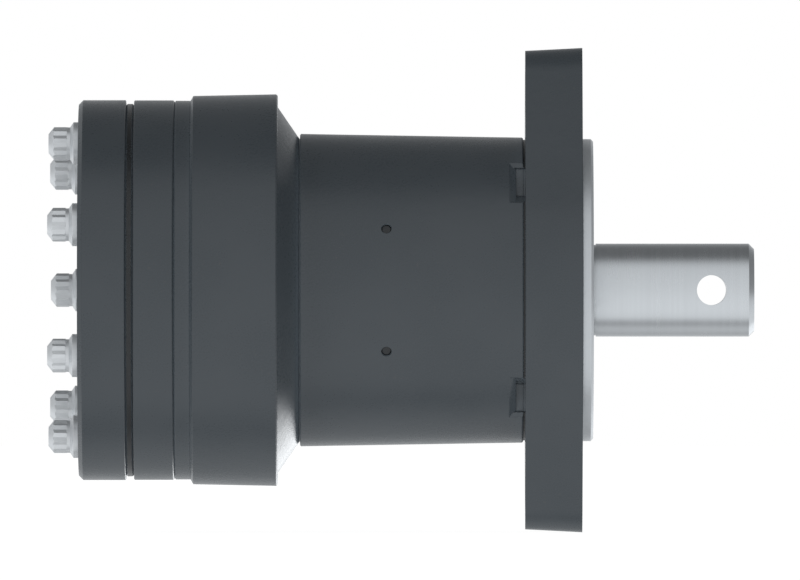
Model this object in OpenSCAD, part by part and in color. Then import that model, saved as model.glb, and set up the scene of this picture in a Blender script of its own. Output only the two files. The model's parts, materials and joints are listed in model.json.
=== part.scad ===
// Orbital hydraulic motor with a two-bolt pilot flange, seen as it comes apart on a bench.
// The origin is the centre of the mounting face. +X points out along the output shaft,
// +Z is up and the hydraulic ports face +Y. All lengths are in millimetres.

/* [Output shaft] */
// Diameter of the output end of the shaft
shaft_d = 25.4; // [22:0.1:28]
// Length of the output end beyond the pilot face
shaft_reach = 44; // [30:0.5:70]
// Chamfer at the end of the shaft
shaft_chamfer = 1.45; // [0.5:0.05:3]
// Diameter of the cross hole for a coupling pin
cross_hole_d = 8.2; // [4:0.1:12]
// Distance of the cross hole from the end of the shaft
cross_hole_back = 11.6; // [8:0.1:20]
// Step from the output end up to the journal that the seal runs on
journal_step = 1.6; // [0.6:0.1:2]
// Length of the relief where the shaft leaves the pilot face
relief_len = 0.8; // [0.3:0.1:3]
// Depth of that relief
relief_depth = 0.3; // [0.1:0.05:0.6]

/* [Mounting flange] */
// Thickness of the flange
flange_t = 15.6; // [14.5:0.1:22]
// Distance between the two mounting holes
hole_spacing = 106.4; // [100:0.1:130]
// Diameter of the mounting holes
mount_hole_d = 13.5; // [10:0.1:15.5]
// Radius of the flange ears at the mounting face
ear_r = 13; // [11.5:0.1:15]
// Rim of the round middle of the flange outside the pilot
hub_rim = 1.725; // [0.5:0.005:6]
// How much the cast outline shrinks from the mounting face to the rear face
flange_draft = 0.8; // [0.1:0.1:1.5]
// Diameter of the centring pilot
pilot_d = 82.55; // [78:0.05:92]
// Height of the centring pilot
pilot_h = 2.9; // [2:0.1:6]
// Chamfer of the centring pilot
pilot_chamfer = 0.65; // [0.2:0.05:1.2]
// Height of the seat that stands off the rear face of the flange
seat_h = 0.6; // [0.4:0.1:2]
// Width of the open groove that this seat leaves at the outside
seat_inset = 0.6; // [0.4:0.1:3]

/* [Housing] */
// How far the front end of the slim body lies inside the outline of the flange
body_step = 1.3; // [0.2:0.1:4]
// How much wider the slim body is at its rear end than at its front end
body_draft = 1; // [0.2:0.1:2]
// Length of the slim body
body_len = 60.9; // [56:0.1:80]
// Width of the undercut behind the slim body
neck_w = 0.2; // [0.2:0.1:2]
// Depth of the undercut
neck_depth = 1.3; // [0.4:0.1:3]
// Length of the conical shoulder
cone_len = 5.9; // [4:0.1:10]
// Step from the conical shoulder out to the wide rear end
cone_drop = 3.5; // [1.5:0.1:5]
// Length of the wide rear end of the housing
head_len = 23.8; // [21.5:0.1:40]
// How far the wide rear end stands out past the gear ring
head_step = 1.21; // [0:0.01:3]
// How much wider the rear end is at its front than at its back
head_draft = 0.44; // [0.1:0.01:1]
// Length of the bevel from the distributor plate up to the wide rear end
head_bevel = 0.75; // [0.3:0.05:2]
// Chamfer at the front edge of the wide rear end
head_chamfer = 0.4; // [0.2:0.1:2]
// Diameter of the bore that the valve spool turns in
bore_d = 44.5; // [42:0.1:48]
// Chamfer at both ends of the slim body
housing_chamfer = 0.3; // [0.2:0.05:0.8]

/* [Ports] */
// Distance of the two main ports behind the mounting face
port_back = 53.5; // [50:0.1:60]
// Angle of each main port above and below the +Y side
port_angle = 23.3; // [22:0.1:28]
// Diameter of the threaded bore of a main port
port_d = 20.4; // [16:0.1:22.5]
// Depth of the threaded bore of a main port below its spot face
port_depth = 15; // [12:0.1:16.5]
// Diameter of the round pad round a main port
port_pad_d = 34; // [30:0.1:36]
// How far the spot faces stand off the slim body
port_stand = 6.3; // [3:0.1:9]
// Distance of the case drain behind the mounting face
drain_back = 28; // [26:0.1:32]
// Diameter of the threaded bore of the case drain
drain_d = 9.9; // [8:0.1:11]
// How far the spot face of the drain stands off the slim body
drain_stand = 3.3; // [1.5:0.1:6]
// Length of the drain plug in its hole
plug_len = 9; // [6:0.1:10]
// Height of the head of the drain plug
plug_head_h = 3.1; // [2:0.1:6]
// Rim of the head of the drain plug outside its thread
plug_rim = 2.5; // [2.2:0.1:3]
// Diameter of the small gallery drillings opposite the main ports
gallery_drill_d = 2.8; // [1.5:0.1:4]

/* [Gear set and covers] */
// Radius of the gear ring, which the plates and covers follow
ring_r = 51.85; // [47:0.05:60]
// Thickness of the gear ring, which sets the displacement
ring_t = 11.05; // [10:0.05:40]
// Thickness of the distributor plate
plate_t = 4.35; // [3.5:0.05:8]
// How far the distributor plate lies inside the gear ring
plate_inset = 0.1; // [0:0.05:1]
// Thickness of the wear plate
wear_t = 2.2; // [0.8:0.05:3]
// How far the wear plate lies inside the gear ring
wear_inset = 0.95; // [0:0.05:1.5]
// Chamfer at both edges of the wear plate
wear_chamfer = 0.45; // [0.1:0.05:0.6]
// Thickness of the end cover
cover_t = 12.9; // [10:0.1:20]
// How far the end cover stands out past the gear ring
cover_lip = 0.05; // [0:0.05:1]
// Chamfer at the back of the end cover
cover_chamfer = 1.2; // [0.3:0.1:2]
// Distance of the bolt circle from the edge of the gear ring
bolt_edge = 10.85; // [10:0.05:14]
// Distance of the roller circle inside the bolt circle
roller_edge = 7.5; // [6.5:0.1:9]
// Diameter of a roller
roller_d = 12.7; // [11.5:0.1:14]
// Distance between the axes of the rotor and of the gear ring
eccentricity = 2.9; // [2.5:0.05:3.2]

/* [Cover bolts] */
// Diameter of the bolt shanks
bolt_d = 7.9; // [6:0.1:8.8]
// Reach of the bolts into the housing
bolt_reach = 17; // [12:0.1:19]
// Diameter of the washer face of a bolt head
bolt_flange_d = 11.7; // [10:0.1:13]
// Diameter of a bolt head across its twelve points
bolt_point_d = 9.2; // [8.2:0.1:10]
// Height of a bolt head
bolt_head_h = 8.2; // [7:0.1:10]
// Thickness of the washer face of a bolt head
bolt_washer_h = 1.4; // [0.8:0.1:2]
// Height from the cover to the twelve points of a bolt head
bolt_neck_h = 3.2; // [2.8:0.1:4]

/* [Flange screws] */
// Distance of the screws that hold the flange from the bore of the housing
screw_edge = 8.75; // [8:0.05:9.5]
// Diameter of the screw shanks
screw_d = 7.9; // [6:0.1:8.8]
// Diameter of the screw heads
screw_head_d = 12.5; // [11:0.1:13]
// Height of the screw heads
screw_head_h = 8; // [6:0.1:9]
// Reach of the screws into the housing
screw_reach = 15; // [10:0.1:18]

/* [Seals, bearing and drive link] */
// Width of the wiper ring in the pilot face
wiper_w = 4; // [3:0.1:4.5]
// Width of the shaft seal
seal_w = 5.4; // [4:0.1:5.6]
// Radial section of the shaft seal
seal_section = 4.5; // [3.5:0.1:5]
// Thickness of the backup washer and of each bearing race
washer_t = 1; // [0.8:0.05:1.1]
// Diameter of the bearing needles
needle_d = 2.5; // [2:0.1:2.8]
// Number of bearing needles
needle_count = 18; // [12:1:20]
// Section diameter of the face seals
face_seal_d = 1.4; // [1:0.05:1.8]
// Distance of the face seals between the rear plates from the edge of the gear ring
face_seal_edge = 4.45; // [3.5:0.05:4.6]
// Outer radius of the drive link splines
spline_r = 12.2; // [11:0.1:13.5]
// Depth of the spline teeth
spline_depth = 2; // [1.5:0.1:2.4]
// Length of the drive link spline in the shaft
spline_len = 12; // [8:0.1:12.5]
// Distance of the spline in the shaft behind the mounting face
spline_back = 45; // [42:0.1:48]
// How far the drive link is waisted below the feet of its splines
link_waist = 0.9; // [0.6:0.1:3]
// Thickness of the loose spacer behind the drive link
spacer_t = 1.8; // [1:0.1:2.4]

/* [Hidden] */

$fn = 96;
paint = [0.27, 0.29, 0.31];
steel = [0.72, 0.74, 0.76];
zinc = [0.78, 0.8, 0.81];
rubber = [0.1, 0.1, 0.11];
bronze = [0.66, 0.55, 0.36];

// Clearances between the pieces
run_gap = 0.05;      // round a turning fit
side_gap = 0.04;     // beside the rotor and the rollers
mesh_gap = 0.08;     // between the rotor and the rollers
bolt_gap = 0.3;      // round a bolt in a plain hole
thread_gap = 0.05;   // round a bolt in its tapped hole
seal_gap = 0.02;     // above a face seal in its groove
spline_gap = 0.38;   // between the spline teeth
cut = 1;             // how far a cutting tool stands past a face
nudge = 0.02;        // keeps crossing faces from lying on each other

// Broken edges of the stacked plates
edge_break = 0.2;    // beside the wear plate
joint_bevel = 0.4;   // between the distributor plate and the gear ring

// Radii that follow from the pilot and the gear ring
hub_r = pilot_d / 2 + hub_rim;
body_r_front = hub_r - body_step;
body_r_rear = body_r_front + body_draft;
neck_r = body_r_rear - neck_depth;
port_pad_reach = body_r_rear + port_stand;
drain_reach = body_r_front + drain_stand;
plate_r = ring_r - plate_inset;
wear_r = ring_r - wear_inset;
cover_r = ring_r + cover_lip;
head_r_rear = ring_r + head_step;
head_r_front = head_r_rear + head_draft;
cone_r = head_r_front - cone_drop;
face_seal_r = ring_r - face_seal_edge;
bolt_circle_r = ring_r - bolt_edge;
roller_circle_r = bolt_circle_r - roller_edge;

// Stations along the axis, from the mounting face to the rear
flange_back = -flange_t;
body_front = flange_back - seat_h;
body_back = body_front - body_len;
cone_front = body_back - neck_w;
head_front = cone_front - cone_len;
head_back = head_front - head_len;
plate_back = head_back - plate_t;
ring_back = plate_back - ring_t;
wear_back = ring_back - wear_t;
cover_back = wear_back - cover_t;
ring_mid = plate_back - ring_t / 2;

// The seal and bearing pocket in the flange, from its rear face forwards
bearing_front = flange_back + 2 * washer_t + needle_d;
washer_front = bearing_front + washer_t;
seal_front = washer_front + seal_w;
wiper_back = pilot_h - wiper_w;
wiper_sink = 0.4;
wiper_section = 4.8;
bolt_len = cover_t + wear_t + ring_t + plate_t + bolt_reach;

shaft_r = shaft_d / 2;
shaft_tip = pilot_h + shaft_reach;
journal_r = shaft_r + journal_step;
seal_r = journal_r + seal_section;
wiper_r = shaft_r + wiper_section;
bore_r = bore_d / 2;
spool_r = bore_r - run_gap;
bearing_r = bore_r - 0.8;
bearing_in = journal_r + 0.4;
spool_front = flange_back - run_gap;
spool_back = head_back + 9.4;
hollow_r = spline_r + 2;

// The valve: two galleries either side of the plane of the ports, with the timing slots between
gallery_w = 8;
gallery_shift = 8.5;
gallery_depth = 2.2;
groove_depth = 2.6;
slot_w = 5;
window_d = 4.8;
land = 1.5;
lobes = 6;
rollers = lobes + 1;
passage_d = 5.2;
passage_circle_r = bore_r + 6.55;
screw_circle_r = bore_r + screw_edge;
flange_seal_r = bore_r + 2.4;

tooth_count = 12;
spline_mid = -spline_back;
link_tilt = atan(eccentricity / (spline_mid - ring_mid));
link_span = norm([eccentricity, spline_mid - ring_mid]);
roller_r = roller_d / 2;
rotor_t = ring_t - 2 * side_gap;
tip_gap = 0.4;
ring_bore_r = roller_circle_r + 2 * eccentricity - roller_r - mesh_gap + tip_gap;
link_shank_r = spline_r - spline_depth - link_waist;

// Turns a shape that was drawn along +Z so that it lies along +X, with its X along +Y
module along_x(x = 0) translate([x, 0, 0]) rotate([90, 0, 90]) children();

// Copies round the axis, starting at the +Y side
module around(count, radius, start = 0)
  for (i = [0:count - 1]) rotate([start + i * 360 / count, 0, 0]) translate([0, radius, 0]) children();

// A rod along +X between two stations
module rod(r, from, to) along_x(min(from, to)) cylinder(r = r, h = abs(to - from));

// A cone along +X between two stations
module taper(r_from, r_to, from, to) along_x(from) cylinder(r1 = r_from, r2 = r_to, h = to - from);

// A flat ring between two stations
module ring(r_in, r_out, from, to) along_x(min(from, to)) difference() {
  cylinder(r = r_out, h = abs(to - from));
  translate([0, 0, -cut]) cylinder(r = r_in, h = abs(to - from) + 2 * cut);
}

// A disc with its own chamfer at the back and at the front
module disc(r, from, to, back_chamfer, front_chamfer) along_x(from) rotate_extrude()
  polygon([
    [0, 0], [r - back_chamfer, 0], [r, back_chamfer],
    [r, to - from - front_chamfer], [r - front_chamfer, to - from], [0, to - from]
  ]);

// Groove for a face seal, open towards +X or -X at the station
module face_groove(station, radius, side) {
  depth = face_seal_d + 2 * seal_gap;
  half = face_seal_d * 0.8;
  ring(radius - half, radius + half, station - side * depth, station + side * cut);
}

// Face seal lying in the groove cut at the station
module face_seal(station, radius, side)
  along_x(station - side * (face_seal_d / 2 + seal_gap))
  rotate_extrude() translate([radius, 0]) circle(d = face_seal_d, $fn = 32);

module bolt_holes(from, to, d) around(rollers, bolt_circle_r) rod(d / 2, from, to);

// Outline of a toothed shaft: straight-sided teeth between two radii, grown by a gap
module spline_outline(r_out, depth, gap) {
  pitch = 360 / tooth_count;
  foot = pitch * 0.3;
  crest = pitch * 0.16;
  wide = gap / r_out * 180 / PI;
  polygon([for (i = [0:tooth_count - 1]) each [
    for (p = [[-foot, -1], [-crest, 0], [crest, 0], [foot, -1]])
      (r_out + gap + p[1] * depth) * [
        cos(i * pitch + p[0] + sign(p[0]) * wide), sin(i * pitch + p[0] + sign(p[0]) * wide)
      ]
  ]]);
}

// Rotor outline: the path of the roller axes seen from the rotor, set in by the roller radius
rotor_steps = 32;
function roller_path(t) = [
  roller_circle_r * cos(t) - eccentricity * cos(rollers * t),
  roller_circle_r * sin(t) - eccentricity * sin(rollers * t)
];
function path_heading(t) = [
  rollers * eccentricity * sin(rollers * t) - roller_circle_r * sin(t),
  roller_circle_r * cos(t) - rollers * eccentricity * cos(rollers * t)
];
function rotor_point(t) = let (h = path_heading(t), n = h / norm(h))
  roller_path(t) + (roller_r + mesh_gap) * [-n[1], n[0]];

// Flange outline at a given amount of shrink: round hub, two round ears and tangent flats
flat_angle = acos((hub_r - ear_r) / (hole_spacing / 2));
function flat_corner(y, z, shrink) = [
  y * (z == 0 ? hub_r - shrink : ear_r - shrink) * sin(flat_angle),
  (z == 0 ? hub_r - shrink : ear_r - shrink) * cos(flat_angle) + (z == 0 ? 0 : hole_spacing / 2)
];
module flats(shrink) for (side = [0, 180]) rotate(side) polygon([
  [-(hub_r - shrink) * sin(flat_angle), 0], flat_corner(-1, 0, shrink), flat_corner(-1, 1, shrink),
  flat_corner(1, 1, shrink), flat_corner(1, 0, shrink), [(hub_r - shrink) * sin(flat_angle), 0]
]);

module output_shaft() color(steel) difference() {
  along_x(0) rotate_extrude() polygon([
    [0, spool_back], [spool_r - 0.6, spool_back], [spool_r, spool_back + 0.6],
    [spool_r, spool_front - 0.4], [spool_r - 0.4, spool_front],
    [journal_r, spool_front], [journal_r, wiper_back - 0.5 - journal_step],
    [shaft_r, wiper_back - 0.5], [shaft_r, pilot_h - wiper_sink],
    [shaft_r - relief_depth, pilot_h - wiper_sink], [shaft_r - relief_depth, pilot_h + relief_len],
    [shaft_r, pilot_h + relief_len], [shaft_r, shaft_tip - shaft_chamfer],
    [shaft_r - shaft_chamfer, shaft_tip], [0, shaft_tip]
  ]);
  translate([shaft_tip - cross_hole_back, 0, 0]) rotate([90, 0, 0])
    cylinder(d = cross_hole_d, h = 2 * shaft_r + 2 * cut, center = true);
  // Annular grooves under the galleries
  for (s = [-1, 1])
    ring(spool_r - groove_depth, spool_r + cut, -port_back + s * gallery_shift - gallery_w / 2,
      -port_back + s * gallery_shift + gallery_w / 2);
  // Timing slots, running from each groove in turn almost to the other
  for (i = [0:2 * lobes - 1]) let (s = i % 2 == 0 ? 1 : -1)
    rotate([i * 180 / lobes, 0, 0])
      translate([-port_back + s * (land + nudge) / 2, spool_r - groove_depth / 2 + cut / 2, 0])
        cube([2 * gallery_shift - gallery_w - land + nudge, groove_depth + cut, slot_w], center = true);
  // Bore for the drive link with its internal spline
  rod(hollow_r, spool_back - cut, spline_mid - spline_len / 2 - 1);
  along_x(spline_mid - spline_len / 2 - 1 - nudge) linear_extrude(spline_len + 2 + nudge)
    spline_outline(spline_r, spline_depth, spline_gap);
  taper(spline_r - spline_depth, 4, spline_mid + spline_len / 2 + 1 - nudge, spline_mid + spline_len / 2 + 8);
}

module mounting_flange() color(paint) difference() {
  union() {
    taper(hub_r - flange_draft, hub_r, flange_back, 0);
    for (s = [-1, 1]) translate([0, 0, s * hole_spacing / 2])
      taper(ear_r - flange_draft, ear_r, flange_back, 0);
    hull() {
      along_x(flange_back) linear_extrude(nudge) flats(flange_draft + nudge);
      along_x(-nudge) linear_extrude(nudge) flats(nudge);
    }
    disc(pilot_d / 2, -nudge, pilot_h, 0, pilot_chamfer);
    rod(body_r_front - seat_inset, body_front, flange_back + nudge);
  }
  for (s = [-1, 1]) translate([0, 0, s * hole_spacing / 2])
    rod(mount_hole_d / 2, flange_back - cut, cut);
  rod(wiper_r, wiper_back, pilot_h + cut);
  rod(journal_r + bolt_gap, seal_front - cut, wiper_back + cut);
  rod(seal_r, washer_front - cut, seal_front);
  rod(bearing_r + run_gap, flange_back - seat_h - cut, washer_front);
  rod(bore_r, body_front - cut, flange_back);
  face_groove(body_front, flange_seal_r, -1);
  around(4, screw_circle_r, screw_turn) {
    rod((screw_d + bolt_gap) / 2, body_front - cut, pilot_h);
    rod((screw_head_d + bolt_gap) / 2, pilot_h - screw_head_h - screw_sink, pilot_h + cut);
  }
  // The pockets of the housing run on through the seat
  all_pockets() pocket_prism(body_front - cut, flange_back);
}

screw_sink = 0.6;
screw_socket = 7.2;
screw_turn = 22.5;
module flange_screws() color(zinc) around(4, screw_circle_r, screw_turn) difference() {
  union() {
    rod(screw_d / 2, body_front - screw_reach, pilot_h - screw_head_h);
    disc(screw_head_d / 2, pilot_h - screw_head_h - screw_sink, pilot_h - screw_sink, 0, 0.5);
  }
  rod(screw_socket / 2, pilot_h - screw_sink - screw_head_h / 2, pilot_h + cut, $fn = 6);
}

module wiper_seal() color(rubber) difference() {
  ring(shaft_r + run_gap, wiper_r, wiper_back, pilot_h - wiper_sink);
  taper(shaft_r + run_gap, shaft_r + 2, pilot_h - wiper_sink - 1.6, pilot_h - wiper_sink + nudge);
}

module shaft_seal() color(rubber) difference() {
  ring(journal_r + run_gap, seal_r, seal_front - seal_w, seal_front);
  along_x(0) rotate_extrude() polygon([
    [journal_r + 1.2, seal_front - seal_w - cut], [journal_r + 1.8, seal_front - 1.4],
    [seal_r - 1.4, seal_front - 1.4], [seal_r - 1.1, seal_front - seal_w - cut]
  ]);
}

module backup_washer() color(steel) ring(journal_r + 0.3, seal_r + 1, bearing_front, washer_front);
module front_race() color(steel) ring(bearing_in, bearing_r, bearing_front - washer_t, bearing_front);
module rear_race() color(steel) ring(bearing_in, bearing_r, flange_back, flange_back + washer_t);

needle_mid = flange_back + washer_t + needle_d / 2;
needle_in = bearing_in + 0.9;
needle_out = bearing_r - 0.9;
module bearing_cage() color(bronze) difference() {
  ring(bearing_in + 0.1, bearing_r - 0.1, needle_mid - needle_d * 0.3, needle_mid + needle_d * 0.3);
  around(needle_count, (needle_in + needle_out) / 2)
    translate([needle_mid, 0, 0])
      cube([needle_d * 2, needle_out - needle_in + 0.2, needle_d + 0.2], center = true);
}

module bearing_needles() color(steel) around(needle_count, needle_in)
  translate([needle_mid, 0, 0]) rotate([-90, 0, 0])
    cylinder(d = needle_d - 2 * nudge, h = needle_out - needle_in, $fn = 24);

module flange_seal() color(rubber) face_seal(body_front, flange_seal_r, -1);

// A pocket for a spanner beside the flange: a flat floor with a stepped land, and a back wall
// that slopes up to the surface. Its outline is drawn from the point of the body surface half
// way between -Y and +Z.
pocket_back = 2.05;
pocket_slope = 1.75;
pocket_drop = 1.2;
pocket_outline = [
  [6.5, 5.7], [5.5, 3.8], [6.1, 3.5], [2.9, -3.8], [-5.2, -5.8], [-16.6, -6.4], [-16.6, 6.6]
];
module pocket_prism(from, to) translate([0, -body_r_front * cos(45), body_r_front * sin(45)])
  along_x(from) linear_extrude(to - from) polygon(pocket_outline);
module all_pockets() for (a = [0, 1], b = [0, 1]) mirror([0, a, 0]) mirror([0, 0, b]) children();
module wrench_pocket() {
  slope_front = body_front - pocket_back;
  slope_back = slope_front - pocket_slope;
  steep = pocket_drop / pocket_slope;
  pocket_prism(slope_front, body_front + cut);
  difference() {
    pocket_prism(slope_back - cut, slope_front + nudge);
    taper(body_r_front + 2 * cut * steep, body_r_front - pocket_drop - cut * steep,
      slope_back - 2 * cut, slope_front + cut);
  }
}

drain_wall = 5;
drain_chamfer_h = 2.4;

// One main port: pad, spot face, chamfered thread bore and the drilling to its gallery
module port_axis(side)
  rotate([side * port_angle, 0, 0]) translate([-port_back, 0, 0]) rotate([-90, 0, 0]) children();
module port_cuts(side) port_axis(side) {
  translate([0, 0, port_pad_reach - port_depth]) cylinder(d = port_d, h = port_depth + cut);
  translate([0, 0, port_pad_reach - 2.4]) cylinder(d1 = port_d, d2 = port_d + 4.4, h = 2.4 + nudge);
  translate([side * (port_d / 2 - 3.4), 0, bore_r - cut])
    cylinder(d = 6.4, h = port_pad_reach - port_depth - bore_r + cut + nudge);
}

module housing() color(paint) difference() {
  union() {
    along_x(0) rotate_extrude() polygon([
      [0, head_back], [plate_r, head_back], [head_r_rear, head_back + head_bevel],
      [head_r_front, head_front - head_chamfer], [head_r_front - head_chamfer, head_front],
      [cone_r, head_front], [neck_r, cone_front], [neck_r, body_back],
      [body_r_rear - housing_chamfer, body_back], [body_r_rear, body_back + housing_chamfer],
      [body_r_front, body_front - housing_chamfer], [body_r_front - housing_chamfer, body_front],
      [0, body_front]
    ]);
    for (side = [-1, 1]) port_axis(side) cylinder(d = port_pad_d, h = port_pad_reach);
    translate([-drain_back, 0, 0]) rotate([-90, 0, 0])
      cylinder(d = drain_d + 2 * drain_wall, h = drain_reach);
  }
  rod(bore_r, head_back - cut, body_front + cut);
  for (s = [-1, 1])
    ring(bore_r - nudge, bore_r + gallery_depth, -port_back + s * gallery_shift - gallery_w / 2,
      -port_back + s * gallery_shift + gallery_w / 2);
  // Passages from the timing windows to the spaces between the rollers
  around(rollers, passage_circle_r) rod(passage_d / 2, head_back - cut, window_d - port_back);
  around(rollers, bore_r - cut) translate([-port_back, 0, 0]) rotate([-90, 0, 0])
    cylinder(d = window_d, h = passage_circle_r - bore_r + cut);
  for (side = [-1, 1]) port_cuts(side);
  // Case drain
  on_drain() {
    translate([0, 0, -drain_reach]) cylinder(d = 4, h = drain_reach);
    translate([0, 0, -plug_len - 3]) cylinder(d = drain_d, h = plug_len + 3 + cut);
    translate([0, 0, -drain_chamfer_h]) cylinder(d1 = drain_d, d2 = drain_d + 4, h = drain_chamfer_h + nudge);
  }
  // Small drillings straight across from the main ports
  for (side = [-1, 1]) rotate([180 + side * port_angle, 0, 0]) translate([-port_back, 0, 0])
    rotate([-90, 0, 0]) translate([0, 0, body_r_front - 7]) cylinder(d = gallery_drill_d, h = 10);
  bolt_holes(head_back - cut, cover_back + bolt_len + 3, bolt_d + 2 * thread_gap);
  around(4, screw_circle_r, screw_turn)
    rod(screw_d / 2 + thread_gap, body_front - screw_reach - 3, body_front + cut);
  face_groove(head_back, face_seal_r, -1);
  all_pockets() wrench_pocket();
}

// Places a shape on the spot face of the case drain, drawn along +Z
module on_drain()
  translate([-drain_back, 0, 0]) rotate([-90, 0, 0]) translate([0, 0, drain_reach]) children();
plug_bevel = 0.5;
plug_socket = 5.6;
plug_socket_depth = 5;
module drain_plug() color(zinc) on_drain() difference() {
  union() {
    translate([0, 0, -plug_len]) cylinder(d = drain_d - 2 * thread_gap, h = plug_len + nudge);
    rotate_extrude() polygon([
      [0, 0], [drain_d / 2 + plug_rim, 0], [drain_d / 2 + plug_rim, plug_head_h - plug_bevel],
      [drain_d / 2 + plug_rim - plug_bevel, plug_head_h], [0, plug_head_h]
    ]);
  }
  translate([0, 0, plug_head_h - plug_socket_depth])
    cylinder(d = plug_socket, h = plug_socket_depth + cut, $fn = 6);
  translate([0, 0, -drain_chamfer_h + nudge]) difference() {
    cylinder(d = drain_d + 1, h = drain_chamfer_h - nudge);
    translate([0, 0, -cut]) cylinder(d = drain_d - face_seal_d, h = drain_chamfer_h + cut);
  }
}

module drain_plug_seal() color(rubber) on_drain()
  translate([0, 0, -face_seal_d / 2 - thread_gap]) rotate_extrude()
    translate([drain_d / 2 + thread_gap, 0]) circle(d = face_seal_d, $fn = 32);

// Drive link, lying from the shaft axis out to the rotor axis
module on_link() translate([spline_mid, 0, 0]) rotate([0, 0, link_tilt]) children();
module crowned_spline(mid, len, crown) intersection() {
  along_x(mid - len / 2) linear_extrude(len) spline_outline(spline_r, spline_depth, 0);
  along_x(mid) rotate_extrude() polygon([
    [0, -len / 2], [spline_r - crown - 0.6, -len / 2], [spline_r - crown, -len / 2 + 0.6],
    [spline_r - crown / 4, -len / 4], [spline_r, 0], [spline_r - crown / 4, len / 4],
    [spline_r - crown, len / 2 - 0.6], [spline_r - crown - 0.6, len / 2], [0, len / 2]
  ]);
}
module drive_link() color(steel) on_link() {
  crowned_spline(0, spline_len, 0.5);
  crowned_spline(-link_span, link_rear_len, 0.5);
  rod(link_shank_r, -link_span + nudge, -nudge);
}
link_end_gap = 0.1 + spline_r * sin(link_tilt);
link_rear_len = 2 * (spline_mid - link_span - ring_back - side_gap - spacer_t - link_end_gap);

module drive_spacer() color(steel) translate([0, -eccentricity, 0])
  disc(spline_r - spline_depth - 0.5, ring_back + side_gap, ring_back + side_gap + spacer_t, 0.2, 0.4);

module housing_face_seal() color(rubber) face_seal(head_back, face_seal_r, -1);
module plate_face_seal() color(rubber) face_seal(plate_back, face_seal_r, -1);
module ring_face_seal() color(rubber) face_seal(ring_back, face_seal_r, -1);
module cover_face_seal() color(rubber) face_seal(wear_back, face_seal_r, 1);

module distributor_plate() color(paint) difference() {
  disc(plate_r, plate_back, head_back, joint_bevel, 0);
  rod(spline_r + eccentricity + 1.2, plate_back - cut, head_back + cut);
  around(rollers, passage_circle_r) rod(passage_d / 2, plate_back - cut, head_back + cut);
  bolt_holes(plate_back - cut, head_back + cut, bolt_d + 2 * bolt_gap);
  face_groove(plate_back, face_seal_r, -1);
}

module roller_places() around(rollers, roller_circle_r, 180 / rollers) children();

module gear_ring() color(paint) difference() {
  disc(ring_r, ring_back, plate_back, edge_break, joint_bevel);
  rod(ring_bore_r, ring_back - cut, plate_back + cut);
  roller_places() rod(roller_r + run_gap, ring_back - cut, plate_back + cut);
  bolt_holes(ring_back - cut, plate_back + cut, bolt_d + 2 * bolt_gap);
  face_groove(ring_back, face_seal_r, -1);
}

module rotor() color(steel) translate([0, -eccentricity, 0]) difference() {
  along_x(ring_back + side_gap) linear_extrude(rotor_t)
    polygon([for (i = [0:lobes * rotor_steps - 1]) rotor_point(i * 360 / lobes / rotor_steps)]);
  along_x(ring_back - cut) linear_extrude(ring_t + 2 * cut)
    spline_outline(spline_r, spline_depth, spline_gap);
}

module roller(index) color(steel) rotate([(index - 0.5) * 360 / rollers, 0, 0])
  translate([0, roller_circle_r, 0]) disc(roller_r, ring_back + side_gap, plate_back - side_gap, 0.3, 0.3);

module wear_plate() color(paint) difference() {
  disc(wear_r, wear_back, ring_back, wear_chamfer, wear_chamfer);
  bolt_holes(wear_back - cut, ring_back + cut, bolt_d + 2 * bolt_gap);
}

module end_cover() color(paint) difference() {
  disc(cover_r, cover_back, wear_back, cover_chamfer, edge_break);
  bolt_holes(cover_back - cut, wear_back + cut, bolt_d + 2 * bolt_gap);
  face_groove(wear_back, face_seal_r, 1);
}

// Twelve-point flange bolt, drawn with its head standing along -X from the cover
bolt_neck_r = bolt_point_d / 2 - 0.15;
module cover_bolts() color(zinc) around(rollers, bolt_circle_r) {
  rod(bolt_d / 2, cover_back, cover_back + bolt_len);
  rod(bolt_flange_d / 2, cover_back - bolt_washer_h, cover_back);
  taper(bolt_neck_r, bolt_flange_d / 2, cover_back - bolt_washer_h - 0.9, cover_back - bolt_washer_h + nudge);
  rod(bolt_neck_r, cover_back - bolt_neck_h - nudge, cover_back - bolt_washer_h);
  intersection() {
    along_x(cover_back - bolt_head_h) for (turn = [0, 30]) rotate(turn)
      cylinder(d = bolt_point_d, h = bolt_head_h - bolt_neck_h, $fn = 6);
    taper(bolt_point_d / 2 - 2, bolt_point_d / 2, cover_back - bolt_head_h, cover_back - bolt_head_h + 1.6);
  }
  intersection() {
    along_x(cover_back - bolt_head_h + 1.6) for (turn = [0, 30]) rotate(turn)
      cylinder(d = bolt_point_d, h = bolt_head_h - bolt_neck_h - 1.6, $fn = 6);
    rod(bolt_point_d, cover_back - bolt_head_h, cover_back);
  }
}

output_shaft();
mounting_flange();
flange_screws();
wiper_seal();
shaft_seal();
backup_washer();
front_race();
bearing_cage();
bearing_needles();
rear_race();
flange_seal();
housing();
drain_plug();
drain_plug_seal();
drive_link();
drive_spacer();
housing_face_seal();
distributor_plate();
plate_face_seal();
gear_ring();
rotor();
roller(1);  // roller_1
roller(2);  // roller_2
roller(3);  // roller_3
roller(4);  // roller_4
roller(5);  // roller_5
roller(6);  // roller_6
roller(7);  // roller_7
ring_face_seal();
wear_plate();
cover_face_seal();
end_cover();
cover_bolts();
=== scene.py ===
import json
import math

import bmesh
import bpy
from mathutils import Matrix, Vector


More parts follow.
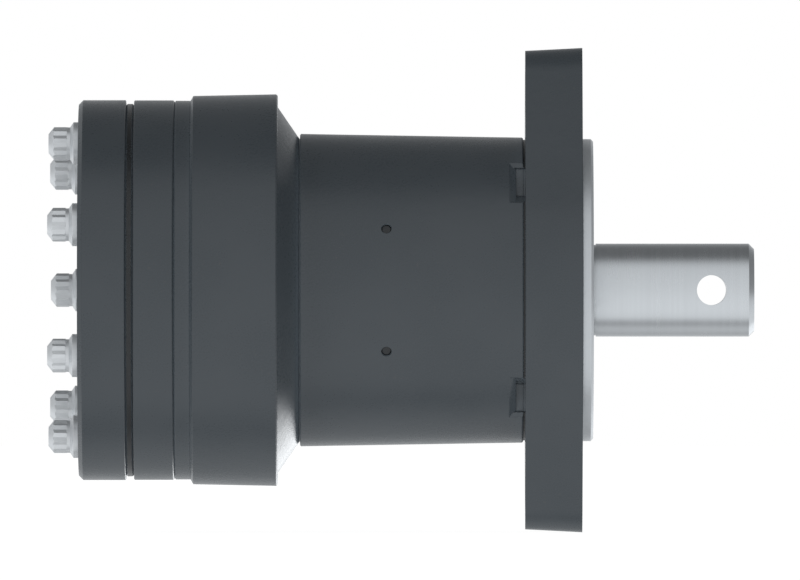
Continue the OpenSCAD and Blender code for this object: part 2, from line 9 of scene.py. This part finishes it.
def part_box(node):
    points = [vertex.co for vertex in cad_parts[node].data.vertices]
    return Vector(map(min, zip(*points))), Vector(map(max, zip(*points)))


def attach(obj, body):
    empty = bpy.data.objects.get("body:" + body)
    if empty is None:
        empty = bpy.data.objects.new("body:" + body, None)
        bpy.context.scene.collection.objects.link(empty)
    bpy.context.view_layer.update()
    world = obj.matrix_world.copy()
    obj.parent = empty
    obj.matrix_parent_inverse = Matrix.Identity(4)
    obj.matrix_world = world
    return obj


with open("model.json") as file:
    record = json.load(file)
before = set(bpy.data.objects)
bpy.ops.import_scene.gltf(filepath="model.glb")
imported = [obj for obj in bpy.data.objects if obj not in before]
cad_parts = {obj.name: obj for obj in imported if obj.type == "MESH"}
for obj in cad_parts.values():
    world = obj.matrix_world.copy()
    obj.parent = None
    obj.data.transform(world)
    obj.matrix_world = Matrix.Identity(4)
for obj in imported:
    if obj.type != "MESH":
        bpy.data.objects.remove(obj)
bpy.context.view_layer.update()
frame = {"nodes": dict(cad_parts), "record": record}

nodes = frame["nodes"]
scene = bpy.context.scene
scene.view_settings.view_transform = "Standard"

# Lengths are in metres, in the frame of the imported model: the shaft axis is X with the mounting
# face at 0 and the shaft towards +X, Z is up, and the camera looks from -Y.

# The two ports lean from the horizontal by this angle, one up and one down
PORT_ANGLE = math.radians(23.3)
PORT_BACK = 0.0535  # behind the mounting face
PORT_REACH = 0.049  # from the shaft axis to the spot face
PORT_FACE_R = 0.0171
PORT_R = 0.0102  # wall of the threaded bore
DRAIN_BACK = 0.028
DRAIN_REACH = 0.045
DRAIN_FACE_R = 0.00995
FACE_RING = 0.0045  # width of a spot face outside its hole
MAIN_BORE_R = 0.0290

# The narrow joint line between flange and housing, which gets painted shade
SEAT_FRONT, SEAT_REAR = -0.01568, -0.01619
SEAT_R = 0.0408

# Port thread, 7/8-14
THREAD_PITCH = 0.001814
THREAD_HEIGHT = 0.0007
THREAD_SINK = 0.00002  # how far the ridge's root goes into the wall
THREAD_TOP, THREAD_BOTTOM = 0.0032, 0.0145  # below the spot face
THREAD_STEPS = 48  # to a turn
# Share of the pitch along the axis, share of the height inwards
THREAD_PROFILE = ((-0.44, 0.0), (-0.07, 1.0), (0.07, 1.0), (0.44, 0.0))

# Closing pins of the two small drillings, straight across from the ports
PIN_R = 0.00138
PIN_BACK = PORT_BACK
PIN_REACH = 0.0417
PIN_SIDES = 32
# Share of the radius, height over PIN_REACH
PIN_PROFILE = (
    (0.0, 0.00006), (0.4, 0.00005), (0.8, 0.00002),
    (0.93, -0.00006), (1.0, -0.0002), (1.0, -0.0025),
)

# Colours of surfaces, linear
PAINT_DARK = (0.048, 0.0585, 0.067)
PAINT_LIGHT = (0.054, 0.0645, 0.073)
PAINT_GRAIN = (0.066, 0.071, 0.076)
# Paler paint for corners: painted light that cancels their shade
PAINT_CORNER_LIGHT = (0.122, 0.145, 0.164)
# Painted shade for the narrow joint between flange and housing
SEAT_SHADE = (0.012, 0.014, 0.016)
BARE_IRON = (0.625, 0.652, 0.673)
BARE_IRON_ROUGH = 0.3
BARE_IRON_METALLIC = 0.6
ZINC_DARK = (0.69, 0.71, 0.725)
ZINC_LIGHT = (0.73, 0.75, 0.765)
ZINC_MARK = (0.66, 0.68, 0.695)
ZINC_METALLIC = 0.75
RUBBER_DARK = (0.018, 0.018, 0.019)
RUBBER_LIGHT = (0.032, 0.032, 0.034)

# Colour of the studio's light, and how fine the rounded edges and the painted light in corners are
# sampled
STUDIO_TINT = (0.96, 0.98, 1.0)
EDGE_SAMPLES = 4
CORNER_SAMPLES = 6

# Camera: a long lens from far away, because the photograph shows no perspective
FRAME_WIDTH = 0.2186
SENSOR_WIDTH = 36
LENS = 1200
AIM_X, AIM_Z = -0.0498, 0.00003
camera = bpy.data.objects.new("camera", bpy.data.cameras.new("camera"))
camera.data.sensor_width = SENSOR_WIDTH
camera.data.lens = LENS
camera.data.clip_start, camera.data.clip_end = 0.5, 40
camera.location = (AIM_X, -FRAME_WIDTH * LENS / SENSOR_WIDTH, AIM_Z)
camera.rotation_euler = (math.pi / 2, 0, 0)
scene.collection.objects.link(camera)
scene.camera = camera


def rgba(color, times=1.0):
    """The colour times a factor, opaque."""
    return tuple(times * c for c in color) + (1,)


class Graph:
    """A short way to write shader nodes: every call returns the node's output socket."""

    def __init__(self, tree):
        self.tree = tree

    def add(self, kind, inputs=(), out=0, **props):
        node = self.tree.nodes.new(kind)
        for key, value in props.items():
            setattr(node, key, value)
        for key, value in dict(inputs).items():
            self.put(node.inputs[key], value)
        return node.outputs[out]

    def put(self, socket, value):
        if isinstance(value, bpy.types.NodeSocket):
            self.tree.links.new(value, socket)
        else:
            socket.default_value = value

    def math(self, operation, a, b=0.0):
        return self.add("ShaderNodeMath", {0: a, 1: b}, operation=operation)

    def span(self, value, low, high, to_low=0.0, to_high=1.0, smooth=True):
        return self.add(
            "ShaderNodeMapRange",
            {
                "Value": value, "From Min": low, "From Max": high,
                "To Min": to_low, "To Max": to_high,
            },
            interpolation_type="SMOOTHSTEP" if smooth else "LINEAR",
        )

    def mix(self, factor, a, b, blend_type="MIX"):
        return self.add(
            "ShaderNodeMix", {0: factor, 6: a, 7: b}, out=2, data_type="RGBA", blend_type=blend_type
        )

    def blend(self, factor, a, b):
        return self.add("ShaderNodeMix", {0: factor, 2: a, 3: b}, data_type="FLOAT")

    def noise(self, vector, scale, detail=2.0, roughness=0.5):
        return self.add(
            "ShaderNodeTexNoise",
            {"Vector": vector, "Scale": scale, "Detail": detail, "Roughness": roughness},
        )

    def ramp(self, value, stops):
        out = self.add("ShaderNodeValToRGB", {"Fac": value})
        elements = out.node.color_ramp.elements
        out.node.color_ramp.interpolation = "LINEAR"
        elements[0].position, elements[1].position = stops[0][0], stops[-1][0]
        for place, _ in stops[1:-1]:
            elements.new(place)
        for element, (_, level) in zip(elements, stops):
            element.color = (level, level, level, 1)
        return out

    def xyz(self, vector):
        return self.add("ShaderNodeSeparateXYZ", {0: vector}).node.outputs

    def length2(self, a, b):
        """The length of the vector with the parts a and b."""
        squares = self.math("ADD", self.math("MULTIPLY", a, a), self.math("MULTIPLY", b, b))
        return self.math("SQRT", squares)

    def bump(self, height, distance, strength=1.0, normal=None):
        inputs = {"Height": height, "Distance": distance, "Strength": strength}
        if normal is not None:
            inputs["Normal"] = normal
        return self.add("ShaderNodeBump", inputs)

    def show(self, output_kind, shader):
        """Links a shader to the tree's output node, which is added if the tree has none."""
        found = [n for n in self.tree.nodes if n.bl_idname == output_kind]
        output = found[0] if found else self.tree.nodes.new(output_kind)
        self.tree.links.new(shader, output.inputs["Surface"])


# World: what the surfaces mirror and are lit by. The camera itself sees plain white.
# Grey level by the angle in degrees round X: 0 is the camera's side, 90 up, 180 behind, -90 down
SKY = [
    (-180, 0.8), (-168, 0.78), (-158, 0.64), (-148, 0.56), (-138, 0.52), (-120, 0.67), (-108, 0.67),
    (-92, 0.43), (-84, 0.55), (-72, 0.91), (-50, 0.96), (-20, 0.93), (0, 0.88), (35, 0.82),
    (56, 0.78), (68, 0.65), (80, 0.34), (88, 0.19), (100, 0.17), (128, 0.18), (142, 0.24),
    (154, 0.34), (162, 0.44), (171, 0.62), (180, 0.8),
]
# The walls at both ends: grey level by height, from 0 at WALL_LOW to 1 at WALL_HIGH
WALL_LOW, WALL_HIGH = -0.5, 0.5
RIGHT_WALL = [(0.0, 0.9), (0.3, 0.75), (0.42, 0.42), (0.5, 0.32), (0.7, 0.3), (1.0, 0.25)]
RIGHT_START, RIGHT_FULL = 0.35, 0.85
LEFT_WALL = [(0.0, 1.05), (0.12, 1.0), (0.3, 0.84), (0.45, 0.74), (0.6, 0.6), (1.0, 0.6)]
LEFT_START, LEFT_FULL = -0.3, -0.6
# A soft bright patch low behind the right end, with the cosines of its rim and core
PATCH = Vector((0.46, 0.81, -0.36)).normalized()
PATCH_RIM, PATCH_CORE = 0.93, 0.985
PATCH_GAIN = 2.0

world = scene.world or bpy.data.worlds.new("studio")
scene.world = world
world.use_nodes = True
world.node_tree.nodes.clear()
g = Graph(world.node_tree)
direction = g.add("ShaderNodeTexCoord", out=0)
dx, dy, dz = g.xyz(direction)
turn = g.math("ARCTAN2", dz, g.math("MULTIPLY", dy, -1.0))
turn = g.span(turn, -math.pi, math.pi, smooth=False)
level = g.ramp(turn, [((angle + 180) / 360, grey) for angle, grey in SKY])
for wall, start, full in (
    (RIGHT_WALL, RIGHT_START, RIGHT_FULL),
    (LEFT_WALL, LEFT_START, LEFT_FULL),
):
    share = g.span(dx, start, full)
    height = g.span(dz, WALL_LOW, WALL_HIGH, smooth=False)
    level = g.mix(share, level, g.ramp(height, wall))
near = g.add(
    "ShaderNodeVectorMath", {0: direction, 1: tuple(PATCH)}, out=1, operation="DOT_PRODUCT"
)
patch = g.span(near, PATCH_RIM, PATCH_CORE, 1.0, PATCH_GAIN)
tint = g.add("ShaderNodeCombineColor", dict(enumerate(STUDIO_TINT)))
tinted = g.mix(1.0, level, tint, blend_type="MULTIPLY")
mirrored = g.add("ShaderNodeBackground", {"Color": tinted, "Strength": patch})
seen = g.add("ShaderNodeBackground", {"Color": (1, 1, 1, 1), "Strength": 1.0})
to_camera = g.add("ShaderNodeLightPath", out=0)
g.show("ShaderNodeOutputWorld", g.add("ShaderNodeMixShader", {0: to_camera, 1: mirrored, 2: seen}))


def material(name):
    """A new material, the graph to write in, its shader, and the place on the object in metres."""
    mat = bpy.data.materials.new(name)
    mat.use_nodes = True
    graph = Graph(mat.node_tree)
    bsdf = mat.node_tree.nodes["Principled BSDF"]
    place = graph.add("ShaderNodeTexCoord", out=3)
    return mat, graph, bsdf, place


def radius_of(g, place):
    """Distance from the shaft axis."""
    _, y, z = g.xyz(place)
    return g.length2(y, z)


def paint_into(g, place, cast, shade=1.0, filled=1.0, open_from=0.95, own=False, thin_front=False):
    """Dark grey semi-gloss paint. Returns its colour, roughness and normal.

    cast: how much sand-cast texture shows through it
    shade: how light it is in the open
    filled: how bright the painted light in corners is
    open_from: a corner starts where less of the air than this is open
    own: corners with other pieces get no painted light
    thin_front: corners near the flange get less painted light
    """
    broad = g.noise(place, 45.0, 3.0)
    grain = g.noise(place, 900.0, 3.0, 0.6)
    sand = g.noise(place, 320.0, 4.0, 0.55)
    peel = g.noise(place, 1500.0, 1.0)
    color = g.mix(g.span(broad, 0.3, 0.7), rgba(PAINT_DARK, shade), rgba(PAINT_LIGHT, shade))
    color = g.mix(g.span(grain, 0.62, 0.8), color, rgba(PAINT_GRAIN, shade))
    # Corners where the air is less open are painted paler: painted light that cancels the shade
    # there
    corner = g.add(
        "ShaderNodeAmbientOcclusion", {"Distance": 0.006}, out=1,
        samples=CORNER_SAMPLES, only_local=own,
    )
    depth = g.span(corner, open_from, 0.35)
    if thin_front:
        depth = g.math("MULTIPLY", depth, g.span(g.xyz(place)[0], -0.03, -0.05, 0.6, 1.0))
    color = g.mix(depth, color, rgba(PAINT_CORNER_LIGHT, filled))
    uneven = g.math("ADD", g.math("MULTIPLY", broad, 0.5), g.math("MULTIPLY", peel, 0.5))
    rough = g.span(uneven, 0.35, 0.65, 0.26, 0.34)
    soft = g.add("ShaderNodeBevel", {"Radius": 0.0003}, samples=EDGE_SAMPLES)
    normal = g.bump(sand, 0.00012 * cast, 0.5, soft)
    normal = g.bump(peel, 0.00003, 0.35, normal)
    return color, rough, normal


def steel_into(g, place, base, rough):
    """Turned and ground steel: fine rings round the shaft axis with a little uneven sheen.

    Returns its colour, roughness and normal."""
    x = g.xyz(place)[0]
    rings = g.add("ShaderNodeCombineXYZ", {0: x, 1: radius_of(g, place), 2: 0.0})
    fine = g.noise(rings, 5200.0, 2.0, 0.6)
    coarse = g.noise(rings, 700.0, 2.0)
    cloud = g.noise(place, 60.0, 2.0)
    color = g.mix(g.span(coarse, 0.35, 0.65), rgba(base, 0.97), rgba(base))
    uneven = g.math("ADD", g.math("MULTIPLY", coarse, 0.5), g.math("MULTIPLY", cloud, 0.5))
    gloss = g.span(uneven, 0.35, 0.65, rough - 0.02, rough + 0.03)
    normal = g.bump(fine, 0.000003, 0.3)
    return color, gloss, normal


def painted(name, cast, **paint):
    """Paint all over; the other arguments are those of paint_into."""
    mat, g, bsdf, place = material(name)
    color, rough, normal = paint_into(g, place, cast, **paint)
    g.put(bsdf.inputs["Base Color"], color)
    g.put(bsdf.inputs["Roughness"], rough)
    g.put(bsdf.inputs["Normal"], normal)
    return mat


def seat_shade_mask(g, place):
    """1 in the narrow joint between flange and housing, where it is seen from outside: there the
    colour gets painted shade.
    """
    x = g.xyz(place)[0]
    in_joint = g.math(
        "MULTIPLY", g.math("LESS_THAN", x, SEAT_FRONT), g.math("GREATER_THAN", x, SEAT_REAR)
    )
    return g.math("MULTIPLY", in_joint, g.math("GREATER_THAN", radius_of(g, place), SEAT_R))


def part_bare(name, bare_mask, **paint):
    """Painted casting, with bare machined iron where bare_mask(graph, place) is 1."""
    mat, g, bsdf, place = material(name)
    color, rough, normal = paint_into(g, place, 1.0, **paint)
    bare_color, bare_rough, _ = steel_into(g, place, BARE_IRON, BARE_IRON_ROUGH)
    mask = bare_mask(g, place)
    # Painted shade in the joint between flange and housing
    color = g.mix(seat_shade_mask(g, place), color, rgba(SEAT_SHADE))
    g.put(bsdf.inputs["Base Color"], g.mix(mask, color, bare_color))
    g.put(bsdf.inputs["Roughness"], g.blend(mask, rough, bare_rough))
    g.put(bsdf.inputs["Metallic"], g.math("MULTIPLY", mask, BARE_IRON_METALLIC))
    g.put(bsdf.inputs["Normal"], normal)
    return mat


def steel(name, base, rough):
    """Bare metal, turned or ground round the shaft axis."""
    mat, g, bsdf, place = material(name)
    color, gloss, normal = steel_into(g, place, base, rough)
    g.put(bsdf.inputs["Base Color"], color)
    g.put(bsdf.inputs["Roughness"], gloss)
    g.put(bsdf.inputs["Normal"], normal)
    bsdf.inputs["Metallic"].default_value = 1.0
    return mat


def zinc(name):
    """Zinc plate: a bright satin metal with faint clouds, drawing marks and slightly soft edges."""
    mat, g, bsdf, place = material(name)
    cloud = g.noise(place, 240.0, 3.0)
    fine = g.noise(place, 3000.0, 2.0)
    x, y, z = g.xyz(place)
    stretched = g.add("ShaderNodeCombineXYZ", {0: g.math("MULTIPLY", x, 0.12), 1: y, 2: z})
    drawn = g.noise(stretched, 2600.0, 2.0)
    color = g.mix(g.span(cloud, 0.35, 0.65), rgba(ZINC_DARK), rgba(ZINC_LIGHT))
    color = g.mix(g.span(fine, 0.6, 0.75), color, rgba(ZINC_MARK))
    g.put(bsdf.inputs["Base Color"], color)
    g.put(bsdf.inputs["Roughness"], g.span(cloud, 0.35, 0.65, 0.33, 0.4))
    soft = g.add("ShaderNodeBevel", {"Radius": 0.00015}, samples=EDGE_SAMPLES)
    g.put(bsdf.inputs["Normal"], g.bump(drawn, 0.000002, 0.3, soft))
    bsdf.inputs["Metallic"].default_value = ZINC_METALLIC
    return mat


def rubber(name):
    """Matt black rubber with a faint bloom."""
    mat, g, bsdf, place = material(name)
    grain = g.noise(place, 2500.0, 3.0)
    bloom = g.noise(place, 150.0, 2.0)
    color = g.mix(g.span(bloom, 0.4, 0.7), rgba(RUBBER_DARK), rgba(RUBBER_LIGHT))
    g.put(bsdf.inputs["Base Color"], color)
    g.put(bsdf.inputs["Roughness"], g.span(bloom, 0.3, 0.7, 0.5, 0.68))
    g.put(bsdf.inputs["Normal"], g.bump(grain, 0.00002, 0.5))
    return mat


def pilot_mask(g, place):
    """1 in front of the mounting face: the pilot is bare."""
    return g.span(g.xyz(place)[0], 0.00002, 0.00012)


def port_mask(g, place):
    """1 on the spot faces and in the holes of ports and drain, and in the main bore."""
    x, y, z = g.xyz(place)
    mask = g.math("LESS_THAN", radius_of(g, place), MAIN_BORE_R)
    for back, angle, reach, face_r in (
        (PORT_BACK, PORT_ANGLE, PORT_REACH, PORT_FACE_R),
        (PORT_BACK, -PORT_ANGLE, PORT_REACH, PORT_FACE_R),
        (DRAIN_BACK, 0.0, DRAIN_REACH, DRAIN_FACE_R),
    ):
        cos, sin = math.cos(angle), math.sin(angle)
        along = g.math("ADD", g.math("MULTIPLY", y, cos), g.math("MULTIPLY", z, sin))
        across = g.math("SUBTRACT", g.math("MULTIPLY", z, cos), g.math("MULTIPLY", y, sin))
        off = g.length2(across, g.math("ADD", x, back))
        on_face = g.math("GREATER_THAN", along, reach - 0.00005)
        face = g.math("MULTIPLY", on_face, g.math("LESS_THAN", off, face_r))
        right_side = g.math("GREATER_THAN", along, 0.02)
        hole = g.math("MULTIPLY", right_side, g.math("LESS_THAN", off, face_r - FACE_RING))
        mask = g.math("MAXIMUM", mask, g.math("MAXIMUM", face, hole))
    return mask


# The look of each material slot, and of the nodes that need one of their own
LOOKS = {
    "painted_iron": painted("painted_machined", 0.25),
    "ground_steel": steel("ground_steel", (0.64, 0.665, 0.685), 0.25),
    "bearing_steel": steel("bearing_steel", (0.56, 0.57, 0.58), 0.2),
    "zinc_plated_steel": zinc("zinc_plated_steel"),
    "bearing_brass": steel("bearing_brass", (0.62, 0.5, 0.3), 0.32),
    "seal_rubber": rubber("seal_rubber"),
}
# In these looks, filled sets the painted light in corners
OWN_LOOKS = {
    "mounting_flange": part_bare("painted_cast_flange", pilot_mask, own=True),
    "housing": part_bare("painted_cast_housing", port_mask, filled=1.2, thin_front=True),
    "gear_ring": painted("painted_ring", 0.25, filled=0.35),
    "wear_plate": painted("painted_black_plate", 0.1, shade=0.1, filled=0.95, open_from=0.7),
}
# The closing pins' paint is darkened and gets little painted light in corners: painted shade for
# the depth of their drillings
PIN_SHADED_LOOK = painted("painted_pin_shaded", 0.4, shade=0.2, filled=0.15)
slots = {s["node"]: s["material_slot"] for s in frame["record"]["subparts"]}
for name, obj in nodes.items():
    obj.data.materials.clear()
    obj.data.materials.append(OWN_LOOKS.get(name) or LOOKS[slots[name]])


def piece(name, mesh, look):
    """An object of a bmesh, which is used up, with one material."""
    data = bpy.data.meshes.new(name)
    mesh.to_mesh(data)
    mesh.free()
    data.materials.append(look)
    obj = bpy.data.objects.new(name, data)
    scene.collection.objects.link(obj)
    return obj


def thread(name, origin, axis, r, start, end, look, body):
    """A helical thread ridge standing inwards from the wall of a bore, between two depths."""
    z = Vector(axis).normalized()
    x = z.orthogonal().normalized()
    y = z.cross(x)
    mesh = bmesh.new()
    count = int((end - start) / THREAD_PITCH * THREAD_STEPS)
    rows = []
    for i in range(count + 1):
        a = 2 * math.pi * i / THREAD_STEPS
        depth = start + THREAD_PITCH * i / THREAD_STEPS
        # The ridge rises and runs out over half a turn
        fade = min(1.0, i / THREAD_STEPS * 2, (count - i) / THREAD_STEPS * 2)
        out = math.cos(a) * x + math.sin(a) * y
        row = []
        for across, lift in THREAD_PROFILE:
            at_r = r + THREAD_SINK - THREAD_HEIGHT * lift * fade
            at = Vector(origin) + out * at_r + z * (depth + across * THREAD_PITCH)
            row.append(mesh.verts.new(at))
        rows.append(row)
    for a, b in zip(rows, rows[1:]):
        for k in range(3):
            mesh.faces.new((a[k], a[k + 1], b[k + 1], b[k]))
        mesh.faces.new((a[3], a[0], b[0], b[3]))
    mesh.faces.new(rows[0][::-1])
    mesh.faces.new(rows[-1])
    bmesh.ops.recalc_face_normals(mesh, faces=mesh.faces)
    obj = piece(name, mesh, look)
    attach(obj, body)


for label, sign in (("a", 1), ("b", -1)):
    thread(
        f"port_{label}_thread", (-PORT_BACK, 0, 0),
        (0, math.cos(PORT_ANGLE), sign * math.sin(PORT_ANGLE)), PORT_R,
        PORT_REACH - THREAD_BOTTOM, PORT_REACH - THREAD_TOP,
        LOOKS["ground_steel"], "motor_case",
    )

# Closing pins, pressed into the two small drillings and painted over: built along +Z, then turned
for label, sign in (("a", 1), ("b", -1)):
    lean = Matrix.Rotation(-sign * PORT_ANGLE, 3, "X") @ Matrix.Rotation(math.pi / 2, 3, "X")
    mesh = bmesh.new()
    rings = []
    for share, lift in PIN_PROFILE[1:]:
        r = share * PIN_R
        rings.append([
            mesh.verts.new(Vector((r * math.cos(a), r * math.sin(a), PIN_REACH + lift)))
            for a in (2 * math.pi * i / PIN_SIDES for i in range(PIN_SIDES))
        ])
    top = mesh.verts.new((0, 0, PIN_REACH + PIN_PROFILE[0][1]))
    for i in range(PIN_SIDES):
        j = (i + 1) % PIN_SIDES
        mesh.faces.new((top, rings[0][i], rings[0][j]))
        for outer, inner in zip(rings[1:], rings):
            mesh.faces.new((inner[i], outer[i], outer[j], inner[j]))
    mesh.faces.new(rings[-1][::-1])
    bmesh.ops.recalc_face_normals(mesh, faces=mesh.faces)
    to_place = Matrix.Translation((-PIN_BACK, 0, 0)) @ lean.to_4x4()
    bmesh.ops.transform(mesh, matrix=to_place, verts=mesh.verts)
    pin = piece(f"closing_pin_{label}", mesh, PIN_SHADED_LOOK)
    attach(pin, "motor_case")


def disc(name, radius, segments, look):
    """A flat round piece of the studio."""
    mesh = bmesh.new()
    bmesh.ops.create_circle(mesh, cap_ends=True, segments=segments, radius=radius)
    return piece(name, mesh, look)


# Card: a clear disc low behind the right end that glows white. Only the pieces in CARD_SEEN_BY
# receive its light, which is full within its core and fades to nothing at its rim.
CARD_TOWARDS = Vector((0.42, 0.87, -0.26)).normalized()
CARD_FAR = 2.0
CARD_RIM, CARD_CORE = 0.968, 0.456
CARD_GLOW = 2.4
CARD_SEEN_BY = ("housing", "distributor_plate", "gear_ring", "wear_plate", "end_cover")
mat, g, _, place = material("card_white")
from_middle = g.add("ShaderNodeVectorMath", {0: place}, out=1, operation="LENGTH")
strength = g.span(from_middle, CARD_RIM, CARD_CORE, 0.0, CARD_GLOW)
glow = g.add("ShaderNodeEmission", {"Color": rgba(STUDIO_TINT), "Strength": strength})
clear = g.add("ShaderNodeBsdfTransparent")
g.show("ShaderNodeOutputMaterial", g.add("ShaderNodeAddShader", {0: clear, 1: glow}))
card = disc("card", 1.0, 64, mat)
card.location = CARD_TOWARDS * CARD_FAR
card.rotation_euler = CARD_TOWARDS.to_track_quat("Z", "Y").to_euler()
card.visible_camera = False
seen_by = bpy.data.collections.new("card_seen_by")
for name in CARD_SEEN_BY:
    seen_by.objects.link(nodes[name])
card.light_linking.receiver_collection = seen_by

# Floor: plain and pale. Only the camera sees it, so it sends no light up to the object
mat, g, bsdf, _ = material("floor_pale")
bsdf.inputs["Base Color"].default_value = (0.2, 0.2, 0.2, 1)
bsdf.inputs["Roughness"].default_value = 0.9
bsdf.inputs["Specular IOR Level"].default_value = 0.0
bsdf.inputs["Emission Color"].default_value = (1, 1, 1, 1)
bsdf.inputs["Emission Strength"].default_value = 0.95
clear = g.add("ShaderNodeBsdfTransparent")
to_camera = g.add("ShaderNodeLightPath", out=0)
surface = g.add("ShaderNodeMixShader", {0: to_camera, 1: clear, 2: bsdf.outputs[0]})
g.show("ShaderNodeOutputMaterial", surface)
floor = disc("floor", 4.0, 96, mat)
floor.location = (-0.05, 0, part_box("mounting_flange")[0].z)
